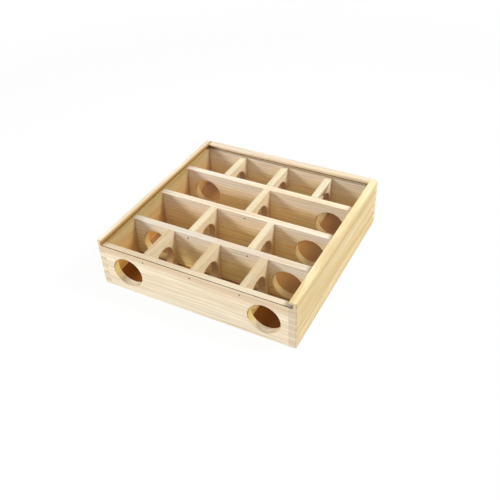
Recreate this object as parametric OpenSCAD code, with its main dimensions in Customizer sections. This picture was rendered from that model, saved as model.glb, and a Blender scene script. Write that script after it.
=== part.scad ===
// Hamster maze: a flat pine box of thirteen cells that round doorways join.
// The corners are finger jointed, the floor is let into the walls, the long dividers are housed in the
// side walls, the short dividers are nailed at one end, and a clear lid slides out over the low front wall.
// Sizes in millimetres. The origin is the middle of the footprint, at the underside.
// X runs right along the front wall, Y runs to the back and Z is up.

/* [Box] */
// Outside width, along the front wall
box_w = 250; // [240:1:280]
// Outside depth, from the front face to the back face
box_d = 250; // [240:1:280]
// Outside height of the side and back walls
box_h = 65; // [62:0.5:75]
// Thickness of the four outer walls
wall_t = 9; // [8:0.5:11]
// Fingers in the height of the front wall, an odd number
finger_count = 11; // [7:2:15]

/* [Lid] */
// Thickness of the clear lid
lid_t = 1.5; // [1.2:0.1:2.5]
// Height of the side and back walls above the lid groove
lip_h = 2; // [1.6:0.1:3]
// Depth of the lid groove in the walls
lid_groove = 5; // [3.5:0.1:6]
// Free height under the lid
lid_play = 0.3; // [0.3:0.05:0.6]
// Free height over the lid, in the groove
lid_headroom = 4.1; // [3:0.1:4.5]
// Free width between each side of the lid and the bottom of its groove
lid_side_play = 1.5; // [0.5:0.1:2]
// Free length between the back of the lid and the bottom of its groove
lid_back_play = 1; // [0.5:0.1:2]

/* [Floor] */
// Thickness of the floor panel
floor_t = 4; // [3:0.5:5]
// Height of the floor panel's underside above the walls' lower edge
floor_lift = 3; // [2:0.5:3.5]
// Depth of the floor panel's groove in the walls
floor_groove = 4; // [2:0.5:5]

/* [Dividers] */
// Thickness of the long and short dividers
board_t = 9; // [7:0.5:10]
// Depth of the long dividers' housings in the side walls
housing = 3; // [2:0.5:4]
// Extra spacing of the long dividers, over an equal share of the depth
row_spread = 1.25; // [-2:0.25:2]
// Distance of the middle long divider behind the middle of the box
row_shift = 1; // [-2:0.25:2]
// Extra spacing of the first row's dividers, over an equal share of the width
first_row_spread = 1; // [-2:0.25:1.25]
// Distance of the first row's dividers to the right of the middle
first_row_shift = -2; // [-2:0.25:2]
// Extra spacing of the second row's dividers, over an equal share of the width
second_row_spread = -2.25; // [-4:0.25:4]
// Distance of the second row's dividers to the right of the middle
second_row_shift = -1.5; // [-4:0.25:4]
// Distance of the third row's divider to the right of the middle
third_row_shift = 1.5; // [-4:0.25:4]
// Extra spacing of the fourth row's dividers, over an equal share of the width
fourth_row_spread = 1.75; // [-2:0.25:2]
// Distance of the fourth row's dividers to the right of the middle
fourth_row_shift = 0.5; // [-2:0.25:2]

/* [Doorways] */
// Diameter of the entrances in the front wall
entrance_d = 39; // [34:0.5:40]
// Height of the entrances' lower edge above the floor
entrance_sill = 2; // [1:0.25:4]
// Diameter of the doorways in the long dividers
long_door_d = 38; // [33:0.5:39]
// Height of the lower edge of the long dividers' doorways above the floor
long_door_sill = 1.2; // [1:0.1:4]
// Diameter of the doorways in the short dividers
short_door_d = 36; // [31:0.5:37]
// Height of the lower edge of the short dividers' doorways above the floor
short_door_sill = 3.5; // [1:0.1:5]
// Distance of the entrances and end doorways, at their middle, from the nearer side wall
door_inset = 28.5; // [25:0.25:29]

/* [Nails] */
// Diameter of a nail's shank
nail_d = 1.4; // [1:0.1:2]
// Length of a nail, head included
nail_l = 20; // [16:0.5:24]
// Diameter of a nail's head
nail_head_d = 2.2; // [2.1:0.1:3]
// Thickness of a nail's head
nail_head_t = 0.8; // [0.5:0.1:1.2]
// Length of a nail's point
nail_tip = 2; // [1:0.1:3]
// Depth of the nail heads below the wood's face
nail_set = 0.3; // [0.1:0.05:0.5]
// Distance of the nails below the top of the front wall
nail_drop = 5; // [4:0.25:6]

/* [Hidden] */

// Smoothness of round shapes
$fn = 72;

// Length by which a cut runs past the face that it opens
past = 1;

// Colours of the woods, the lid and the nails
pale_pine = [0.91, 0.83, 0.68];
yellow_pine = [0.90, 0.77, 0.52];
floor_wood = [0.80, 0.66, 0.44];
clear_sheet = [0.88, 0.92, 0.93, 0.25];
steel = [0.45, 0.42, 0.38];

// Outer and inner faces of the box, measured from its middle
half_w = box_w / 2;
half_d = box_d / 2;
in_x = half_w - wall_t;
in_y = half_d - wall_t;

// The front wall and the dividers end at the lower face of the lid groove
groove_h = lid_play + lid_t + lid_headroom;
front_h = box_h - lip_h - groove_h;
finger_h = front_h / finger_count;
floor_top = floor_lift + floor_t;

// Distance of the entrances and end doorways from the middle of the box
door_x = in_x - door_inset;

// Half the lid's width, and the place of its back edge
lid_half_w = in_x + lid_groove - lid_side_play;
lid_back = in_y + lid_groove - lid_back_play;

nail_z = front_h - nail_drop;

// Rows count from the front: how many short dividers each has, how far apart and how far off the middle
row_dividers = [3, 2, 1, 3];
row_spreads = [first_row_spread, second_row_spread, 0, fourth_row_spread];
row_shifts = [first_row_shift, second_row_shift, third_row_shift, fourth_row_shift];
last_row = len(row_dividers) - 1;

// Spacing of boards, middle to middle, that part a length into equal cells
function equal_pitch(length, boards) = (length + board_t) / (boards + 1);
row_pitch = equal_pitch(2 * in_y, last_row) + row_spread;
short_pitches = [for (row = [0 : last_row]) equal_pitch(2 * in_x, row_dividers[row]) + row_spreads[row]];

// Middle of a long divider, counted from the front
function long_y(i) = row_shift + (i - 1) * row_pitch;

// Faces between which a row's short dividers stand
function row_front(row) = row == 0 ? -in_y : long_y(row - 1) + board_t / 2;
function row_back(row) = row == last_row ? in_y : long_y(row) - board_t / 2;

// Middle of a short divider, counted from the left
function short_x(row, i) = row_shifts[row] + (i - (row_dividers[row] - 1) / 2) * short_pitches[row];

// Box between two opposite corners
module block(low, high) {
    translate(low)
        cube(high - low);
}

// Every second finger of a corner, over the wall's full thickness, as the cut that receives it
module finger_cuts(first, low, high) {
    for (i = [first : 2 : finger_count - 1]) {
        bottom = i == 0 ? -past : i * finger_h;
        block([low[0], low[1], bottom], [high[0], high[1], (i + 1) * finger_h]);
    }
}

// Fingers of the side walls, cut out of both ends of a front or back wall
module side_fingers(low_y, high_y) {
    for (side = [0, 1])
        mirror([side, 0, 0])
            finger_cuts(1, [in_x, low_y - past], [half_w + past, high_y + past]);
}

// Fingers of the front and back walls, cut out of both ends of the right wall
module end_fingers() {
    for (end = [0, 1])
        mirror([0, end, 0])
            finger_cuts(0, [in_x - past, in_y], [half_w + past, half_d + past]);
}

// The floor panel, which is also the shape of its grooves
module floor_shape() {
    reach = [in_x + floor_groove, in_y + floor_groove];
    block([-reach[0], -reach[1], floor_lift], [reach[0], reach[1], floor_top]);
}

// The space in which the lid slides, open to the front
module lid_space() {
    side = in_x + lid_groove;
    block([-side, -half_d - past, front_h], [side, in_y + lid_groove, front_h + groove_h]);
}

// A long divider before its doorways are cut, which is also the shape of its housings
module long_board(i) {
    half_l = in_x + housing;
    y = long_y(i);
    block([-half_l, y - board_t / 2, floor_top], [half_l, y + board_t / 2, front_h]);
}

// Doorway along X through a board of thickness t that is centred on the YZ plane
module doorway(d, sill, t) {
    translate([-t / 2 - past, 0, floor_top + sill + d / 2])
        rotate([0, 90, 0])
            cylinder(d = d, h = t + 2 * past);
}

// One nail, driven along +Y from the origin on the wood's face
module nail_shape() {
    rotate([-90, 0, 0])
        rotate_extrude()
            polygon([
                [0, nail_set],
                [nail_head_d / 2, nail_set],
                [nail_head_d / 2, nail_set + nail_head_t],
                [nail_d / 2, nail_set + nail_head_t],
                [nail_d / 2, nail_set + nail_l - nail_tip],
                [0, nail_set + nail_l]
            ]);
}

// The hole that a nail leaves: the nail and the dimple over its head
module nail_hole() {
    nail_shape();
    translate([0, -past, 0])
        rotate([-90, 0, 0])
            cylinder(d = nail_head_d, h = past + nail_set + nail_head_t / 2);
}

// Puts a nail or its hole at the nailed end of a short divider
module at_nail(row, i) {
    if (row == last_row)
        translate([short_x(row, i), half_d, nail_z])
            mirror([0, 1, 0])
                children();
    else
        translate([short_x(row, i), row_front(row) - (row == 0 ? wall_t : board_t), nail_z])
            children();
}

// Holes of all nails in one row
module row_nail_holes(row) {
    for (i = [0 : row_dividers[row] - 1])
        at_nail(row, i)
            nail_hole();
}

module front_wall() {
    color(pale_pine)
        difference() {
            block([-half_w, -half_d, 0], [half_w, -in_y, front_h]);
            side_fingers(-half_d, -in_y);
            floor_shape();
            for (side = [-1, 1])
                translate([side * door_x, -half_d + wall_t / 2, 0])
                    rotate([0, 0, 90])
                        doorway(entrance_d, entrance_sill, wall_t);
            row_nail_holes(0);
        }
}

module back_wall() {
    color(pale_pine)
        difference() {
            block([-half_w, in_y, 0], [half_w, half_d, box_h]);
            side_fingers(in_y, half_d);
            for (side = [0, 1])
                mirror([side, 0, 0])
                    block([in_x, in_y - past, front_h], [half_w + past, half_d + past, box_h + past]);
            floor_shape();
            lid_space();
            row_nail_holes(last_row);
        }
}

// A side wall, drawn on the right
module side_wall() {
    difference() {
        block([in_x, -half_d, 0], [half_w, half_d, box_h]);
        end_fingers();
        floor_shape();
        lid_space();
        for (i = [0 : 2])
            long_board(i);
    }
}

module left_wall() {
    color(yellow_pine)
        mirror([1, 0, 0])
            side_wall();
}

module right_wall() {
    color(yellow_pine)
        side_wall();
}

module floor_panel() {
    color(floor_wood)
        floor_shape();
}

module sliding_lid() {
    bottom = front_h + lid_play;
    color(clear_sheet)
        block([-lid_half_w, -half_d, bottom], [lid_half_w, lid_back, bottom + lid_t]);
}

// A long divider with doorways on the given sides and the nails of the row behind it
module long_divider(i, doors) {
    difference() {
        long_board(i);
        for (side = doors)
            translate([side * door_x, long_y(i), 0])
                rotate([0, 0, 90])
                    doorway(long_door_d, long_door_sill, board_t);
        if (i + 1 < last_row)
            row_nail_holes(i + 1);
    }
}

module front_long_divider() {
    color(pale_pine)
        long_divider(0, [-1, 1]);
}

module middle_long_divider() {
    color(pale_pine)
        long_divider(1, [1]);
}

module rear_long_divider() {
    color(pale_pine)
        long_divider(2, [-1, 1]);
}

// A short divider with its doorway halfway along
module short_divider(row, i) {
    x = short_x(row, i);
    middle_y = (row_front(row) + row_back(row)) / 2;
    color(pale_pine)
        difference() {
            block([x - board_t / 2, row_front(row), floor_top], [x + board_t / 2, row_back(row), front_h]);
            translate([x, middle_y, 0])
                doorway(short_door_d, short_door_sill, board_t);
            at_nail(row, i)
                nail_hole();
        }
}

module first_row_divider_left() {
    short_divider(0, 0);
}

module first_row_divider_middle() {
    short_divider(0, 1);
}

module first_row_divider_right() {
    short_divider(0, 2);
}

module second_row_divider_left() {
    short_divider(1, 0);
}

module second_row_divider_right() {
    short_divider(1, 1);
}

module third_row_divider() {
    short_divider(2, 0);
}

module fourth_row_divider_left() {
    short_divider(3, 0);
}

module fourth_row_divider_middle() {
    short_divider(3, 1);
}

module fourth_row_divider_right() {
    short_divider(3, 2);
}

// A nail in its place at a short divider's nailed end
module nail(row, i) {
    color(steel)
        at_nail(row, i)
            nail_shape();
}

module front_wall_nail_left() {
    nail(0, 0);
}

module front_wall_nail_middle() {
    nail(0, 1);
}

module front_wall_nail_right() {
    nail(0, 2);
}

module front_divider_nail_left() {
    nail(1, 0);
}

module front_divider_nail_right() {
    nail(1, 1);
}

module middle_divider_nail() {
    nail(2, 0);
}

module back_wall_nail_left() {
    nail(3, 0);
}

module back_wall_nail_middle() {
    nail(3, 1);
}

module back_wall_nail_right() {
    nail(3, 2);
}

front_wall();
back_wall();
left_wall();
right_wall();
floor_panel();
sliding_lid();
front_long_divider();
middle_long_divider();
rear_long_divider();
first_row_divider_left();
first_row_divider_middle();
first_row_divider_right();
second_row_divider_left();
second_row_divider_right();
third_row_divider();
fourth_row_divider_left();
fourth_row_divider_middle();
fourth_row_divider_right();
front_wall_nail_left();
front_wall_nail_middle();
front_wall_nail_right();
front_divider_nail_left();
front_divider_nail_right();
middle_divider_nail();
back_wall_nail_left();
back_wall_nail_middle();
back_wall_nail_right();
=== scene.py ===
"""A pine hamster maze with a clear sliding lid, in plain studio light."""

import math

import bmesh
import bpy
from mathutils import Matrix, Vector


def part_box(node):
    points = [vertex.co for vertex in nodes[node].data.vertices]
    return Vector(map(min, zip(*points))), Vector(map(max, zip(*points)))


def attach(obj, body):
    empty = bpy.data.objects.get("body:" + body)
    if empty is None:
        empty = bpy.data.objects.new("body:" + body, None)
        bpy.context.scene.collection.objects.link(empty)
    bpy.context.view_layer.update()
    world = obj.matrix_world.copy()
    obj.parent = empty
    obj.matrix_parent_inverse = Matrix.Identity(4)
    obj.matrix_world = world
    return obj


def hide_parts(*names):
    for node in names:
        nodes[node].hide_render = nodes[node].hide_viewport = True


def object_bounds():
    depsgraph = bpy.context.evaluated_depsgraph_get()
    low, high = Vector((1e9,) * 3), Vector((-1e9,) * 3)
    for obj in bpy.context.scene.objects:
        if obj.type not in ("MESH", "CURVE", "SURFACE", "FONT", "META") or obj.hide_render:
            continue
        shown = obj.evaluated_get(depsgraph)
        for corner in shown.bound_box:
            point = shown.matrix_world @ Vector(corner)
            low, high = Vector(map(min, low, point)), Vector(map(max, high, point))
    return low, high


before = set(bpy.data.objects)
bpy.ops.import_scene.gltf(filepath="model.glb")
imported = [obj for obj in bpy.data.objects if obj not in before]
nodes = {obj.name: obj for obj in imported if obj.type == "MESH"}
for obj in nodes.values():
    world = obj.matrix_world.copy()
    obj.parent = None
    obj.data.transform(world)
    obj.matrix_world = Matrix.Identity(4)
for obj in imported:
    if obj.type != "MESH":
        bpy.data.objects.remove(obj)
cad_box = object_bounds()
scene = bpy.context.scene

MM = 0.001
X, Y, Z = 0, 1, 2
WHITE = (1.0, 1.0, 1.0, 1.0)

# Camera, fitted to the corners of the box in the photograph
IMAGE_PIXELS = 500
FOCAL_PIXELS = 646.14
SENSOR_MM = 36.0
VIEW_AZIMUTH = 28.97
VIEW_ELEVATION = 39.03
VIEW_ROLL = -2.49
VIEW_DISTANCE = 816.69 * MM
VIEW_AIM = (4.73 * MM, 0.52 * MM)

# Lamps: direction in degrees, distance and size in metres, and the brightness
# that each gives to a white card that faces it
KEY_LAMP = {"azimuth": -36, "elevation": 20, "distance": 2.0, "size": 0.4, "level": 0.49}
BACK_LAMP = {"azimuth": 115, "elevation": 47, "distance": 2.0, "size": 0.6, "level": 0.77}
WORLD_LEVEL = 0.62

# Studio floor, which turns up into a low round backdrop
FLOOR_RADIUS = 2.6
FLOOR_BEND = 0.6
BACKDROP_HEIGHT = 1.5
FLOOR_TURNS = 96
BEND_STEPS = 12
FLOOR_DROP = 0.3 * MM
FLOOR_COLOUR = (0.92, 0.92, 0.91)
FAR_COLOUR = (0.15, 0.15, 0.15)
FAR_FROM, FAR_TO = 0.45, 1.0
FLOOR_WHITE_SHARE = 0.94

# Edges: widths, and the shares of the width that lesser edges get
EASE = 1.3 * MM
EASE_SEGMENTS = 3
TOP_SHARE = 0.45
DOOR_SHARE = 0.4
FINE_SHARE = 0.12
LID_EASE = 0.25 * MM
WELD = 0.001 * MM
FLAT_ANGLE = math.radians(0.5)
SHARP_ANGLE = math.radians(35)
SHORT_EDGE = 0.8 * MM
ON_PLANE = 0.01 * MM
ALONG_AXIS = 0.999

# Woods: colours in linear light, the distance between rings in metres, and the
# shares of the broad bands and of the dark lines
PALE_PINE = {
    "early": (0.98, 0.89, 0.70), "band": (0.86, 0.72, 0.51), "late": (0.66, 0.46, 0.27),
    "end": (0.84, 0.67, 0.43), "ring": 4.2 * MM, "bands": 0.8, "lines": 0.62,
}
WHITE_PINE = {
    "early": (0.98, 0.88, 0.76), "band": (0.97, 0.79, 0.56), "late": (0.74, 0.46, 0.22),
    "end": (0.84, 0.67, 0.43), "ring": 3.6 * MM, "bands": 0.7, "lines": 0.58,
}
YELLOW_PINE = {
    "early": (0.79, 0.655, 0.395), "band": (0.69, 0.51, 0.235), "late": (0.52, 0.33, 0.11),
    "end": (0.74, 0.60, 0.44), "ring": 3.4 * MM, "bands": 0.95, "lines": 0.62,
}
AMBER_PINE = {
    "early": (0.72, 0.55, 0.27), "band": (0.65, 0.45, 0.18), "late": (0.52, 0.30, 0.09),
    "end": (0.78, 0.65, 0.48), "ring": 3.4 * MM, "bands": 0.9, "lines": 0.6,
}
DIVIDER_PINE = {
    "early": (0.96, 0.86, 0.75), "band": (0.95, 0.77, 0.55), "late": (0.76, 0.46, 0.19),
    "end": (0.76, 0.58, 0.38), "ring": 3.4 * MM, "bands": 0.7, "lines": 0.62,
}
GOLDEN_PINE = {
    "early": (0.97, 0.84, 0.62), "band": (0.95, 0.75, 0.47), "late": (0.76, 0.44, 0.16),
    "end": (0.78, 0.60, 0.37), "ring": 3.2 * MM, "bands": 0.7, "lines": 0.55,
}
FLOOR_PLY = {
    "early": (0.46, 0.225, 0.06), "band": (0.41, 0.19, 0.048), "late": (0.30, 0.12, 0.03),
    "end": (0.40, 0.24, 0.11), "ring": 4.0 * MM, "bands": 0.6, "lines": 0.45,
}

# Figure of the wood: how fast a pattern changes along the grain, its scale per metre, the
# limits between which it sets in, and the tints or shares at its weakest and strongest
BOARD_SHIFT = Vector((0.37, 0.53, 0.71))
RING_SHIFT = 1.7
SLOW_ALONG, RING_ALONG, FINE_ALONG = 0.18, 0.04, 0.03
ROUGH_NOISE = (3.0, 0.6)
WANDER_SCALE, WANDER_WIDTH, STREAK_WAVE = 22.0, 11 * MM, 12 * MM
BAND_SCALE, BAND_LIMITS = 90.0, (0.38, 0.64)
UNEVEN_SCALE = 260.0
STRENGTH_SCALE, STRENGTH_LIMITS, STRENGTH_SHARES = 170.0, (0.35, 0.65), (0.25, 1.0)
RING_CURVE = [(0.0, 0.0), (0.40, 0.05), (0.80, 0.75), (0.92, 1.0), (1.0, 0.0)]
FIBRE_SCALE, FIBRE_LIMITS, FIBRE_TINTS = 900.0, (0.25, 0.75), (0.89, 1.07)
STREAK_LIMITS, STREAK_SHARES = (0.25, 0.65), (0.6, 1.0)
DUCT_SCALE, DUCT_LIMITS, DUCT_SHARE = 1500.0, (0.70, 0.80), 0.22
SPECK_SCALE, SPECK_LIMITS, SPECK_TINTS = 1900.0, (0.3, 0.7), (0.88, 1.06)
END_LINES = 0.25
WOOD_ROUGHNESS = (0.50, 0.66)
WOOD_SHEEN, FLOOR_SHEEN = 0.18, 0.08
FIBRE_RELIEF, RING_RELIEF = 0.6, 0.35
RELIEF_STRENGTH, RELIEF_HEIGHT = 0.35, 0.12 * MM

# Limits of a normal's share along an axis, for faces square to it and turned towards it
SQUARE_ON = (0.75, 0.97)
TURNED = (0.3, 0.7)

# Boards: the grain's axis, the pith line's place from the board's middle in millimetres, the wood
BOARDS = {
    "front_wall": (X, (0.0, 40.0, -70.0), PALE_PINE),
    "back_wall": (X, (0.0, -50.0, -55.0), WHITE_PINE),
    "left_wall": (Y, (25.0, 0.0, -60.0), AMBER_PINE),
    "right_wall": (Y, (-25.0, 0.0, -60.0), YELLOW_PINE),
    "front_long_divider": (X, (0.0, 42.0, -48.0), DIVIDER_PINE),
    "middle_long_divider": (X, (0.0, -48.0, -40.0), DIVIDER_PINE),
    "rear_long_divider": (X, (0.0, 45.0, -60.0), DIVIDER_PINE),
}
GROOVED_WALLS = ("back_wall", "left_wall", "right_wall")
SHOWN_OUTSIDE = ("front_wall", "right_wall")

# Short dividers' pith lines, which differ from board to board
PITH_ASIDE, PITH_ASIDE_STEP = 35.0, 6.0
PITH_BELOW, PITH_BELOW_STEP, PITH_BELOW_COUNT = 30.0, 9.0, 4

# Darker streaks along a wall: height, half width and strength
STREAKS = {
    "front_wall": [
        (53 * MM, 12 * MM, 0.72), (31.5 * MM, 2 * MM, 0.35), (25 * MM, 3 * MM, 0.42),
        (12 * MM, 2.5 * MM, 0.35),
    ],
    "right_wall": [
        (57 * MM, 4 * MM, 0.30), (48 * MM, 3.5 * MM, 0.35), (38 * MM, 3 * MM, 0.15),
        (27 * MM, 3 * MM, 0.26), (19 * MM, 3 * MM, 0.36), (8 * MM, 2.5 * MM, 0.10),
    ],
}

# Painted light on the boards' tops, which are made lighter or darker, and painted shade on the left
# wall's top towards the inside
TOP_LIGHT_TINT = {
    "right_wall": (1.12, 1.16, 1.22), "left_wall": (1.30, 1.54, 2.45), "back_wall": (0.83, 0.83, 0.80),
    "front_long_divider": (0.88, 0.87, 0.84), "rear_long_divider": (1.04, 1.01, 0.96),
    "first_row": (0.77, 0.71, 0.64), "short": (0.92, 0.94, 0.94),
}
LEFT_RIM = (-121.5 * MM, -117 * MM)
LEFT_RIM_SHADE = (0.48, 0.34, 0.18)

# Painted shade on inner faces: a warmer tint towards the floor that stands in for the golden shade low
# in the cells
LOW_SHADE_TINT = {
    "left_wall": (1.0, 0.73, 0.43), "short": (0.82, 0.68, 0.38), "other": (1.01, 0.92, 0.49),
}
LOW_FROM, LOW_TO = 22 * MM, 54 * MM

# Painted shade in the lid's groove, and the corner joints that show in the front wall
GROOVE_SHADE = {
    "back_wall": (0.92, 0.72, 0.47), "left_wall": (0.84, 0.46, 0.07), "other": (0.06, 0.03, 0.012),
}
GROOVE_FROM, GROOVE_TO = 57.2 * MM, 62.9 * MM
WALL_FACE, WALL_END = 116.1 * MM, 124 * MM
JOINT_TINT = (0.86, 0.86, 0.87)

# Painted shade on the walls of the drilled holes: colour, share of it on the sill, and the places where
# they are
DRILLED_SHADE = {
    "front_wall": ((0.78, 0.59, 0.19), 0.0), "short": ((0.44, 0.24, 0.06), 0.8),
    "other": ((0.66, 0.44, 0.14), 1.0),
}
DRILLED_SHARE = 0.8
DRILLED_TURNED = (0.3, 0.8)
SILL_TURNED = (0.35, 0.95)
DRILLED_TOP = 51 * MM
DRILLED_REACH = 112 * MM

# Floor panel, with a strip of painted shade behind the front wall
PANEL_NUMBER = 31
PANEL_PITH = (0.0, 90.0, -75.0)
SHADE_STRIP = (-84 * MM, -74 * MM)
SHADE_STRIP_SHARE = 0.9
SHADE_STRIP_TINT = (0.53, 0.40, 0.2)
FACES_UP = 0.5

# Clear sheet: its faces, its sawn edges, tinted near black as painted shade, and faint smears
SHEET_FACE = (0.945, 0.965, 0.96)
SHEET_EDGE_SHADE = (0.03, 0.022, 0.015)
SHEET_CLEAR = (0.98, 0.985, 0.98, 1.0)
SHEET_IOR = 1.12
SMEAR_SCALE, SMEAR_NOISE, SMEAR_LIMITS, SMEAR_ROUGHNESS = 38.0, (4.0, 0.65), (0.45, 0.75), (0.0, 0.015)

# Nails: darkened wire
STAIN_SCALE, STAIN_LIMITS = 1400.0, (0.3, 0.7)
NAIL_DARK, NAIL_PALE = (0.03, 0.025, 0.02), (0.14, 0.12, 0.10)
NAIL_ROUGHNESS = (0.35, 0.6)


def direction(azimuth, elevation):
    """The unit vector towards a place round the object; azimuth 0 is in front of it."""
    a, e = math.radians(azimuth), math.radians(elevation)
    return Vector((math.sin(a) * math.cos(e), -math.cos(a) * math.cos(e), math.sin(e)))


def add_object(name, data):
    """An object in the scene that holds this data."""
    obj = bpy.data.objects.new(name, data)
    scene.collection.objects.link(obj)
    return obj


class Graph:
    """The nodes of one material; most calls add a node and return its output."""

    def __init__(self, name):
        self.material = bpy.data.materials.new(name)
        self.material.use_nodes = True
        self.tree = self.material.node_tree
        self.shader = self.tree.nodes["Principled BSDF"]
        self.output = self.tree.nodes["Material Output"]

    def feed(self, socket, value):
        """Links an output to the socket, or sets the socket's own value."""
        if isinstance(value, bpy.types.NodeSocket):
            self.tree.links.new(value, socket)
        else:
            socket.default_value = value

    def add(self, kind, inputs, **settings):
        node = self.tree.nodes.new("ShaderNode" + kind)
        for key, value in settings.items():
            setattr(node, key, value)
        for key, value in inputs.items():
            self.feed(node.inputs[key], value)
        return node

    def surface(self):
        """The place in the object and the normal."""
        outputs = self.add("TexCoord", {}).outputs
        return outputs["Object"], outputs["Normal"]

    def math(self, operation, a, b=0.0):
        return self.add("Math", {0: a, 1: b}, operation=operation).outputs[0]

    def product(self, first, *others):
        for other in others:
            first = self.math("MULTIPLY", first, other)
        return first

    def vector(self, operation, a, b):
        return self.add("VectorMath", {0: a, 1: b}, operation=operation).outputs[0]

    def length(self, vector):
        return self.add("VectorMath", {0: vector}, operation="LENGTH").outputs["Value"]

    def part(self, vector, axis):
        return self.add("SeparateXYZ", {0: vector}).outputs[axis]

    def noise(self, place, scale, detail=2.0, roughness=0.5):
        inputs = {"Vector": place, "Scale": scale, "Detail": detail, "Roughness": roughness}
        return self.add("TexNoise", inputs).outputs[0]

    def step(self, value, low, high, to_low=0.0, to_high=1.0):
        """Goes smoothly from to_low to to_high while value goes from low to high."""
        inputs = {"Value": value, "From Min": low, "From Max": high, "To Min": to_low, "To Max": to_high}
        return self.add("MapRange", inputs, interpolation_type="SMOOTHSTEP").outputs[0]

    def ramp(self, value, stops):
        """A grey curve through the stops, each a place from 0 to 1 and a level."""
        node = self.add("ValToRGB", {"Fac": value})
        elements = node.color_ramp.elements
        while len(elements) < len(stops):
            elements.new(0.5)
        for element, (place, level) in zip(elements, stops):
            element.position = place
            element.color = (level, level, level, 1.0)
        return node.outputs["Color"]

    def mix(self, factor, a, b, blend="MIX"):
        colours = [(*c, 1.0) if isinstance(c, tuple) else c for c in (a, b)]
        inputs = {0: factor, 6: colours[0], 7: colours[1]}
        return self.add("Mix", inputs, data_type="RGBA", blend_type=blend).outputs[2]


def slowed(grain, share):
    """A scale of 1 across the grain and of this share along it."""
    scale = Vector((1, 1, 1))
    scale[grain] = share
    return scale


def wood_figure(g, place, number, grain, pith, ring):
    """The wood's patterns: rings round the pith line, bands, fibres, ducts and specks."""
    moved = g.vector("ADD", place, BOARD_SHIFT * number)
    across = g.vector("MULTIPLY", moved, slowed(grain, 0.0))
    fine = g.vector("MULTIPLY", moved, slowed(grain, FINE_ALONG))
    wander = g.noise(g.vector("MULTIPLY", moved, slowed(grain, SLOW_ALONG)), WANDER_SCALE)
    from_pith = g.vector("MULTIPLY", g.vector("SUBTRACT", place, pith), slowed(grain, 0.0))
    radius = g.math("ADD", g.length(from_pith), g.math("MULTIPLY", wander, WANDER_WIDTH))
    along = g.math("MULTIPLY", g.part(moved, grain), RING_ALONG)
    ring_place = g.add("CombineXYZ", {0: radius, 1: along, 2: RING_SHIFT * number}).outputs[0]
    uneven = g.noise(ring_place, UNEVEN_SCALE, 1.0)
    phase = g.math("FRACT", g.math("ADD", g.math("DIVIDE", radius, ring), uneven))
    strength = g.noise(ring_place, STRENGTH_SCALE, 1.0)
    return {
        "wander": wander,
        "band": g.step(g.noise(ring_place, BAND_SCALE, *ROUGH_NOISE), *BAND_LIMITS),
        "strong": g.step(strength, *STRENGTH_LIMITS, *STRENGTH_SHARES),
        "late": g.ramp(phase, RING_CURVE),
        "fibre": g.noise(fine, FIBRE_SCALE, *ROUGH_NOISE),
        "duct": g.step(g.noise(fine, DUCT_SCALE, 0.0), *DUCT_LIMITS),
        "speck": g.noise(across, SPECK_SCALE),
    }


def wood_colour(g, place, figure, wood, streaks):
    """Early wood with bands, dark lines, streaks, fibres and ducts."""
    colour = g.mix(g.math("MULTIPLY", figure["band"], wood["bands"]), wood["early"], wood["band"])
    lines = g.product(figure["late"], figure["strong"], wood["lines"])
    colour = g.mix(lines, colour, wood["late"])
    wave = g.math("MULTIPLY", g.math("SUBTRACT", figure["wander"], 0.5), STREAK_WAVE)
    height = g.math("ADD", g.part(place, Z), wave)
    for centre, half_width, strength in streaks:
        away = g.math("ABSOLUTE", g.math("SUBTRACT", height, centre))
        share = g.step(away, 0.0, half_width, strength, 0.0)
        share = g.math("MULTIPLY", share, g.step(figure["fibre"], *STREAK_LIMITS, *STREAK_SHARES))
        colour = g.mix(share, colour, wood["late"])
    colour = g.mix(1.0, colour, g.step(figure["fibre"], *FIBRE_LIMITS, *FIBRE_TINTS), "MULTIPLY")
    return g.mix(g.math("MULTIPLY", figure["duct"], DUCT_SHARE), colour, wood["late"])


def with_end_grain(g, normal, grain, figure, wood, colour):
    """The colour, with speckled end grain on the board's ends."""
    end = g.step(g.math("ABSOLUTE", g.part(normal, grain)), *SQUARE_ON)
    end_colour = g.mix(g.math("MULTIPLY", figure["late"], END_LINES), wood["end"], wood["late"])
    speckle = g.step(figure["speck"], *SPECK_LIMITS, *SPECK_TINTS)
    return g.mix(end, colour, g.mix(1.0, end_colour, speckle, "MULTIPLY"))


def with_shade_strip(g, place, normal, late, colour):
    """The colour, with the strip of painted shade on the floor panel's upper face."""
    upward = g.math("GREATER_THAN", g.part(normal, Z), FACES_UP)
    strip = g.math("MULTIPLY", upward, g.step(g.part(place, Y), *SHADE_STRIP, SHADE_STRIP_SHARE, 0.0))
    return g.mix(strip, g.mix(strip, colour, late), SHADE_STRIP_TINT, "MULTIPLY")


def with_low_shade(g, place, normal, grain, tint, colour):
    """The colour, with painted shade: warmer low on the face towards the front or the right."""
    axis, sign = (Y, -1) if grain == X else (X, 1)
    facing = g.step(g.math("MULTIPLY", g.part(normal, axis), sign), *TURNED)
    low = g.math("MULTIPLY", facing, g.step(g.part(place, Z), LOW_FROM, LOW_TO, 1.0, 0.0))
    return g.mix(low, colour, tint, "MULTIPLY")


def with_top_light(g, place, normal, tint, rimmed, colour):
    """The colour, with painted light on the board's top, and painted shade on the rim of the left wall.
    """
    high = g.math("GREATER_THAN", g.part(place, Z), GROOVE_TO if rimmed else DRILLED_TOP)
    upward = g.math("MULTIPLY", g.step(g.part(normal, Z), *SQUARE_ON), high)
    colour = g.mix(upward, colour, tint, "MULTIPLY")
    if rimmed:
        rim = g.math("MULTIPLY", g.step(g.part(place, X), *LEFT_RIM), high)
        colour = g.mix(rim, colour, LEFT_RIM_SHADE, "MULTIPLY")
    return colour


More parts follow.
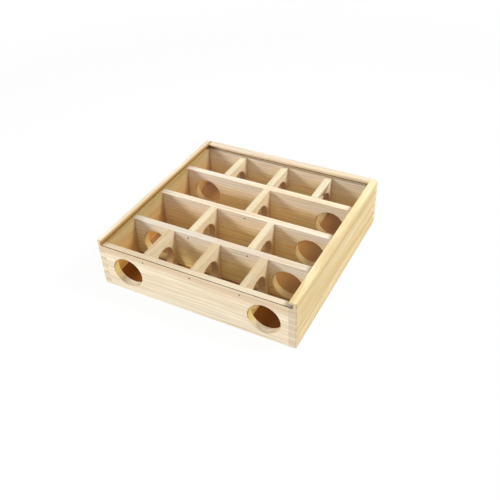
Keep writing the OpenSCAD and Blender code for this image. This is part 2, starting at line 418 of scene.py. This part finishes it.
def drilled(g, place, normal, grain, sill):
    """How much painted shade a place gets on the wall of a hole through the board."""
    through = g.math("ABSOLUTE", g.part(normal, 1 - grain))
    share = g.step(through, *DRILLED_TURNED, DRILLED_SHARE, 0.0)
    not_sill = g.step(g.part(normal, Z), *SILL_TURNED, 1.0, sill)
    below = g.math("LESS_THAN", g.part(place, Z), DRILLED_TOP)
    within = g.math("LESS_THAN", g.math("ABSOLUTE", g.part(place, grain)), DRILLED_REACH)
    return g.product(share, not_sill, below, within)


def groove(g, place, grain):
    """Where a place lies in the groove that holds the lid."""
    beside = g.math("ABSOLUTE", g.part(place, 1 - grain))
    along = g.math("ABSOLUTE", g.part(place, grain))
    height = g.part(place, Z)
    return g.product(
        g.math("GREATER_THAN", beside, WALL_FACE), g.math("LESS_THAN", beside, WALL_END),
        g.math("LESS_THAN", along, WALL_END),
        g.math("GREATER_THAN", height, GROOVE_FROM), g.math("LESS_THAN", height, GROOVE_TO),
    )


def finished(g, place, normal, grain, finish, colour):
    """The colour, with the tints, painted shade and painted light that finish names for single places on
    the board.
    """
    # painted shade on the floor panel behind the front wall
    if finish.get("strip"):
        colour = with_shade_strip(g, place, normal, finish["strip"], colour)
    # painted shade low on the inner faces
    if finish.get("low"):
        colour = with_low_shade(g, place, normal, grain, finish["low"], colour)
    if finish.get("joints"):
        beside = g.math("GREATER_THAN", g.part(place, X), WALL_FACE)
        colour = g.mix(beside, colour, finish["joints"], "MULTIPLY")
    # painted shade on the walls of the holes
    if finish.get("holes"):
        hole_colour, sill = finish["holes"]
        colour = g.mix(drilled(g, place, normal, grain, sill), colour, hole_colour)
    # painted shade in the lid's groove
    if finish.get("groove"):
        colour = g.mix(groove(g, place, grain), colour, finish["groove"])
    # painted light on the tops, painted shade on the left wall's rim
    if finish.get("top"):
        colour = with_top_light(g, place, normal, finish["top"], finish["rimmed"], colour)
    return colour


def pine(name, number, grain, pith, wood, finish):
    """Straight pine: rings round a pith line that runs along the grain.

    grain is the axis that the grain follows, pith a point that the pith line
    passes through, and number sets each board's wood apart.
    """
    g = Graph(name)
    place, normal = g.surface()
    figure = wood_figure(g, place, number, grain, pith, wood["ring"])
    colour = wood_colour(g, place, figure, wood, finish.get("streaks", ()))
    colour = with_end_grain(g, normal, grain, figure, wood, colour)
    colour = finished(g, place, normal, grain, finish, colour)
    g.feed(g.shader.inputs["Base Color"], colour)
    g.feed(g.shader.inputs["Roughness"], g.step(figure["fibre"], *FIBRE_LIMITS, *WOOD_ROUGHNESS))
    g.shader.inputs["Specular IOR Level"].default_value = finish.get("sheen", WOOD_SHEEN)
    fibres = g.math("MULTIPLY", figure["fibre"], FIBRE_RELIEF)
    relief = g.math("ADD", fibres, g.math("MULTIPLY", figure["late"], RING_RELIEF))
    bump = g.add("Bump", {"Strength": RELIEF_STRENGTH, "Distance": RELIEF_HEIGHT, "Height": relief})
    g.feed(g.shader.inputs["Normal"], bump.outputs[0])
    return g.material


def acrylic(name):
    """Clear sheet with faint smears and painted shade on its sawn edges; lamps shine through it."""
    g = Graph(name)
    place, normal = g.surface()
    smear = g.noise(place, SMEAR_SCALE, *SMEAR_NOISE)
    level = g.step(g.math("ABSOLUTE", g.part(normal, Z)), *TURNED)
    g.feed(g.shader.inputs["Base Color"], g.mix(level, SHEET_EDGE_SHADE, SHEET_FACE))
    g.feed(g.shader.inputs["Roughness"], g.step(smear, *SMEAR_LIMITS, *SMEAR_ROUGHNESS))
    g.shader.inputs["IOR"].default_value = SHEET_IOR
    g.shader.inputs["Transmission Weight"].default_value = 1.0
    path = g.add("LightPath", {}).outputs
    through = g.math("MAXIMUM", path["Is Shadow Ray"], path["Is Diffuse Ray"])
    clear = g.add("BsdfTransparent", {"Color": SHEET_CLEAR})
    both = g.add("MixShader", {0: through, 1: g.shader.outputs[0], 2: clear.outputs[0]})
    g.feed(g.output.inputs["Surface"], both.outputs[0])
    return g.material


def dull_steel(name):
    """Wire nails, darkened unevenly."""
    g = Graph(name)
    place, _ = g.surface()
    stain = g.noise(place, STAIN_SCALE, *ROUGH_NOISE)
    g.feed(g.shader.inputs["Base Color"], g.mix(stain, NAIL_DARK, NAIL_PALE))
    g.shader.inputs["Metallic"].default_value = 1.0
    g.feed(g.shader.inputs["Roughness"], g.step(stain, *STAIN_LIMITS, *NAIL_ROUGHNESS))
    return g.material


def eased(name, width, share_of):
    """A copy of a CAD node with its free edges rounded over, which stands for the node.

    share_of gives the share of the width that an edge gets.
    """
    shape = bmesh.new()
    shape.from_mesh(nodes[name].data)
    bmesh.ops.remove_doubles(shape, verts=shape.verts, dist=WELD)
    bmesh.ops.dissolve_limit(shape, angle_limit=FLAT_ANGLE, verts=shape.verts, edges=shape.edges)
    low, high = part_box(name)
    weight = shape.edges.layers.float.new("bevel_weight_edge")
    for edge in shape.edges:
        angle = edge.calc_face_angle_signed(0.0)
        edge.smooth = abs(angle) < SHARP_ANGLE
        edge[weight] = share_of(edge, low, high) if angle > SHARP_ANGLE else 0.0
    for face in shape.faces:
        face.smooth = True
    mesh = bpy.data.meshes.new(name + "_eased")
    shape.to_mesh(mesh)
    shape.free()
    piece = add_object(name + "_eased", mesh)
    bevel = piece.modifiers.new("eased_edges", "BEVEL")
    bevel.limit_method = "WEIGHT"
    bevel.width = width
    bevel.segments = EASE_SEGMENTS
    bevel.use_clamp_overlap = False
    bevel.harden_normals = True
    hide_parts(name)
    return piece


def on_hole(edge):
    """Whether the edge borders a hole's round wall."""
    return any(max(abs(c) for c in face.normal) < ALONG_AXIS for face in edge.link_faces)


def planes_met(edge, low, high, axes):
    """How many of a box's faces, on these axes, the whole edge lies in."""
    return sum(
        all(abs(vert.co[axis] - end[axis]) < ON_PLANE for vert in edge.verts)
        for axis in axes
        for end in (low, high)
    )


def board_share(edge, low, high):
    """Most rounding on the box's outer edges, less along a board's top and round the doors."""
    if on_hole(edge):
        return DOOR_SHARE if edge.calc_length() > SHORT_EDGE else 0.0
    if planes_met(edge, *cad_box, (X, Y, Z)) >= 2:
        return 1.0
    on_top = all(abs(vert.co.z - high.z) < ON_PLANE for vert in edge.verts)
    if on_top and planes_met(edge, low, high, (X, Y)) == 1:
        return TOP_SHARE
    return FINE_SHARE if planes_met(edge, *cad_box, (X, Y)) else 0.0


def all_edges(edge, low, high):
    """The full width on every edge."""
    return 1.0


def all_boards():
    """The boards, with the short dividers after the others."""
    boards = dict(BOARDS)
    for count, name in enumerate(sorted(name for name in nodes if "_row_divider" in name)):
        side = -1 if count % 2 else 1
        aside = side * (PITH_ASIDE + PITH_ASIDE_STEP * count)
        below = PITH_BELOW + PITH_BELOW_STEP * (count % PITH_BELOW_COUNT)
        boards[name] = (Y, (aside, 0.0, -below), GOLDEN_PINE)
    return boards


def pick(values, name):
    """The value for this board, for its row, for short dividers or for other boards."""
    kinds = [name]
    if name.startswith("first_row"):
        kinds.append("first_row")
    if "_row_divider" in name:
        kinds.append("short")
    return next((values[kind] for kind in kinds if kind in values), values.get("other"))


def finish_of(name):
    """The streaks and tints of this board, and its painted shade and painted light."""
    grooved = name in GROOVED_WALLS
    return {
        "streaks": STREAKS.get(name, ()),
        "low": None if name in SHOWN_OUTSIDE else pick(LOW_SHADE_TINT, name),
        "joints": JOINT_TINT if name == "front_wall" else None,
        "holes": None if grooved else pick(DRILLED_SHADE, name),
        "groove": pick(GROOVE_SHADE, name) if grooved else None,
        "top": pick(TOP_LIGHT_TINT, name),
        "rimmed": name == "left_wall",
    }


def pith_of(name, from_middle):
    """The pith line's place, given from the board's middle in millimetres."""
    low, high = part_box(name)
    return (low + high) / 2 + Vector(from_middle) * MM


def add_boards():
    """Walls and dividers, each in wood of its own."""
    for number, (name, (grain, from_middle, wood)) in enumerate(all_boards().items()):
        piece = eased(name, EASE, board_share)
        pith = pith_of(name, from_middle)
        piece.data.materials.append(pine(name + "_pine", number, grain, pith, wood, finish_of(name)))
        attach(piece, "box")


def add_lid():
    """The clear lid, with its sawn edges just broken."""
    piece = eased("sliding_lid", LID_EASE, all_edges)
    piece.data.materials.append(acrylic("clear_acrylic"))
    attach(piece, "lid")


def paint(name, material):
    """Gives a CAD node this material in place of its own."""
    slots = nodes[name].data.materials
    slots.clear()
    slots.append(material)


def add_floor_panel_and_nails():
    """The thin dark floor panel and the wire nails."""
    pith = pith_of("floor_panel", PANEL_PITH)
    # the strip is painted shade behind the front wall
    finish = {"strip": FLOOR_PLY["late"], "sheen": FLOOR_SHEEN}
    paint("floor_panel", pine("floor_wood", PANEL_NUMBER, X, pith, FLOOR_PLY, finish))
    steel = dull_steel("nail_steel")
    for name in nodes:
        if "nail" in name:
            paint(name, steel)


def floor_profile():
    """The studio floor's section from its middle to the top of the backdrop."""
    flat = FLOOR_RADIUS - FLOOR_BEND
    yield 0.0, 0.0
    for count in range(BEND_STEPS + 1):
        turn = math.pi / 2 * count / BEND_STEPS
        yield flat + FLOOR_BEND * math.sin(turn), FLOOR_BEND * (1 - math.cos(turn))
    yield FLOOR_RADIUS, BACKDROP_HEIGHT


def floor_mesh(name):
    """The floor's section turned round the upright axis, with its faces up."""
    shape = bmesh.new()
    profile = [shape.verts.new((r, 0.0, z - FLOOR_DROP)) for r, z in floor_profile()]
    edges = [shape.edges.new(pair) for pair in zip(profile, profile[1:])]
    bmesh.ops.spin(
        shape, geom=profile + edges, cent=(0, 0, 0), axis=(0, 0, 1),
        angle=math.tau, steps=FLOOR_TURNS, use_merge=True,
    )
    bmesh.ops.remove_doubles(shape, verts=shape.verts, dist=WELD)
    bmesh.ops.recalc_face_normals(shape, faces=shape.faces)
    if sum(face.normal.z * face.calc_area() for face in shape.faces) < 0:
        bmesh.ops.reverse_faces(shape, faces=shape.faces)
    for face in shape.faces:
        face.smooth = True
    mesh = bpy.data.meshes.new(name)
    shape.to_mesh(mesh)
    shape.free()
    return mesh


def floor_material(name):
    """White with a soft shadow, darker far away to the light, and open from below."""
    g = Graph(name)
    g.tree.nodes.remove(g.shader)
    path = g.add("LightPath", {}).outputs
    seen = g.math("MAXIMUM", path["Is Camera Ray"], path["Is Glossy Ray"])
    seen = g.math("MAXIMUM", seen, path["Is Transmission Ray"])
    place, _ = g.surface()
    away = g.length(place)
    matt_colour = g.mix(g.step(away, FAR_FROM, FAR_TO), FLOOR_COLOUR, FAR_COLOUR)
    matt = g.add("BsdfDiffuse", {"Color": matt_colour})
    white = g.add("Emission", {"Color": WHITE, "Strength": 1.0})
    share = g.math("MULTIPLY", seen, g.step(away, FAR_FROM, FAR_TO, FLOOR_WHITE_SHARE, 1.0))
    top = g.add("MixShader", {0: share, 1: matt.outputs[0], 2: white.outputs[0]})
    below = g.add("NewGeometry", {}).outputs["Backfacing"]
    open_side = g.add("BsdfTransparent", {})
    both = g.add("MixShader", {0: below, 1: top.outputs[0], 2: open_side.outputs[0]})
    g.feed(g.output.inputs["Surface"], both.outputs[0])
    return g.material


def add_floor():
    """The studio floor."""
    mesh = floor_mesh("studio_floor")
    floor = add_object("studio_floor", mesh)
    mesh.materials.append(floor_material("studio_floor"))


def add_world():
    """Even light from all round, plain white where the camera sees it."""
    world = bpy.data.worlds.new("studio")
    scene.world = world
    world.use_nodes = True
    tree = world.node_tree
    weak = tree.nodes["Background"]
    weak.inputs["Color"].default_value = WHITE
    weak.inputs["Strength"].default_value = WORLD_LEVEL
    white = tree.nodes.new("ShaderNodeBackground")
    white.inputs["Color"].default_value = WHITE
    white.inputs["Strength"].default_value = 1.0
    path = tree.nodes.new("ShaderNodeLightPath")
    seen = path.outputs["Is Camera Ray"]
    for ray in ("Is Glossy Ray", "Is Transmission Ray"):
        either = tree.nodes.new("ShaderNodeMath")
        either.operation = "MAXIMUM"
        tree.links.new(seen, either.inputs[0])
        tree.links.new(path.outputs[ray], either.inputs[1])
        seen = either.outputs[0]
    both = tree.nodes.new("ShaderNodeMixShader")
    tree.links.new(seen, both.inputs[0])
    tree.links.new(weak.outputs[0], both.inputs[1])
    tree.links.new(white.outputs[0], both.inputs[2])
    tree.links.new(both.outputs[0], tree.nodes["World Output"].inputs["Surface"])


def add_lamp(name, azimuth, elevation, distance, size, level):
    """A square soft lamp, aimed at the object."""
    lamp = bpy.data.lights.new(name, "AREA")
    lamp.shape = "SQUARE"
    lamp.size = size
    lamp.energy = level * (math.pi * distance) ** 2
    holder = add_object(name, lamp)
    towards = direction(azimuth, elevation)
    holder.location = towards * distance
    holder.rotation_mode = "QUATERNION"
    holder.rotation_quaternion = towards.to_track_quat("Z", "Y")
    holder.visible_camera = False
    holder.visible_glossy = False
    holder.visible_transmission = False


def add_camera():
    """The photograph's own viewpoint."""
    data = bpy.data.cameras.new("camera")
    data.sensor_width = SENSOR_MM
    data.lens = FOCAL_PIXELS / IMAGE_PIXELS * SENSOR_MM
    camera = add_object("camera", data)
    back = direction(VIEW_AZIMUTH, VIEW_ELEVATION)
    level_right = direction(VIEW_AZIMUTH + 90, 0)
    level_up = back.cross(level_right)
    roll = math.radians(VIEW_ROLL)
    right = level_right * math.cos(roll) + level_up * math.sin(roll)
    up = level_up * math.cos(roll) - level_right * math.sin(roll)
    place = back * VIEW_DISTANCE + right * VIEW_AIM[0] + up * VIEW_AIM[1]
    axes = Matrix((right, up, back)).transposed()
    camera.matrix_world = Matrix.LocRotScale(place, axes, None)
    scene.camera = camera


scene.view_settings.view_transform = "Standard"
add_camera()
add_boards()
add_lid()
add_floor_panel_and_nails()
add_floor()
add_world()
add_lamp("key_lamp", **KEY_LAMP)
add_lamp("back_lamp", **BACK_LAMP)
